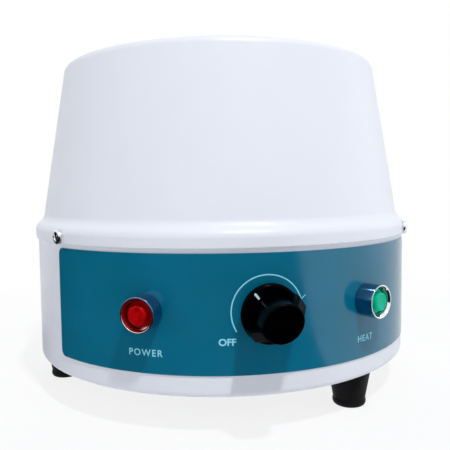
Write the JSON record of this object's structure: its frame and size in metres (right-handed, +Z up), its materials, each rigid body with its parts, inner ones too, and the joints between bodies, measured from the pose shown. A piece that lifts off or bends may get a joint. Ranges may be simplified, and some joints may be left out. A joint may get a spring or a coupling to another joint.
{
  "type": "heating mantle",
  "caption": "Round electric heating mantle for a round-bottomed flask: conical white housing on a base pan, cloth-lined nest, front panel with power and heat lamps and a turning heat knob.",
  "frame": {"origin": "on the housing's vertical axis, at the level of the table under the feet", "axes": "+Z up; -Y towards the control panel, so +Y runs from the front to the back; +X to the right of a person who faces the panel"},
  "size_m": [0.2528, 0.3034, 0.2075],
  "materials": {
    "white_coat": "satin",
    "shield_steel": "satin",
    "chrome_trim": "polished",
    "plated_steel": "satin",
    "glass_cloth": "woven matte",
    "glass_wool": "matte",
    "sleeving": "woven matte",
    "teal_label": "satin",
    "black_plastic": "gloss",
    "dark_plastic": "matte",
    "cream_plastic": "matte",
    "black_rubber": "matte",
    "brass_work": "machined",
    "steatite": "matte",
    "red_lens": "gloss",
    "green_lens": "gloss",
    "white_lead": "satin",
    "black_lead": "satin",
    "brown_lead": "satin",
    "green_lead": "satin"
  },
  "bodies": {
    "housing": {"base_pan": "white_coat", "upper_housing": "white_coat", "heat_shield": "shield_steel", "housing_screws": "chrome_trim", "power_lamp_bezel": "chrome_trim", "heat_lamp_bezel": "chrome_trim", "housing_nuts": "plated_steel", "foot_screws": "plated_steel", "foot_washers": "plated_steel", "foot_nuts": "plated_steel", "terminal_fixings": "plated_steel", "flask_nest": "glass_cloth", "insulation": "glass_wool", "heating_coil": "sleeving", "front_label": "teal_label", "regulator_case": "dark_plastic", "gland_body": "dark_plastic", "gland_cap": "dark_plastic", "gland_locknut": "dark_plastic", "power_lamp_body": "dark_plastic", "heat_lamp_body": "dark_plastic", "power_lamp_nut": "dark_plastic", "heat_lamp_nut": "dark_plastic", "regulator_cover": "cream_plastic", "right_foot": "black_rubber", "left_foot": "black_rubber", "rear_foot": "black_rubber", "gland_seal": "black_rubber", "regulator_bush": "brass_work", "regulator_washer": "brass_work", "regulator_nut": "brass_work", "regulator_tags": "brass_work", "terminal_screws": "brass_work", "earth_stud": "brass_work", "earth_nuts": "brass_work", "power_lamp_tags": "brass_work", "heat_lamp_tags": "brass_work", "terminal_block": "steatite", "lead_bushes": "steatite", "power_lamp_lens": "red_lens", "heat_lamp_lens": "green_lens", "heater_feed_lead": "white_lead", "heater_return_lead": "white_lead", "power_lamp_lead": "black_lead", "heat_lamp_lead": "black_lead", "supply_lead": "brown_lead", "earth_lead": "green_lead"},
    "knob": {"control_shaft": "plated_steel", "control_knob": "black_plastic", "knob_grub_screw": "plated_steel"}
  },
  "joints": [
    {"name": "knob_turn", "type": "hinge", "parent": "housing", "child": "knob", "pos_m": [0, -0.125, 0.0647], "axis": [0, 1, 0], "range_deg": [-84, 186]}
  ]
}
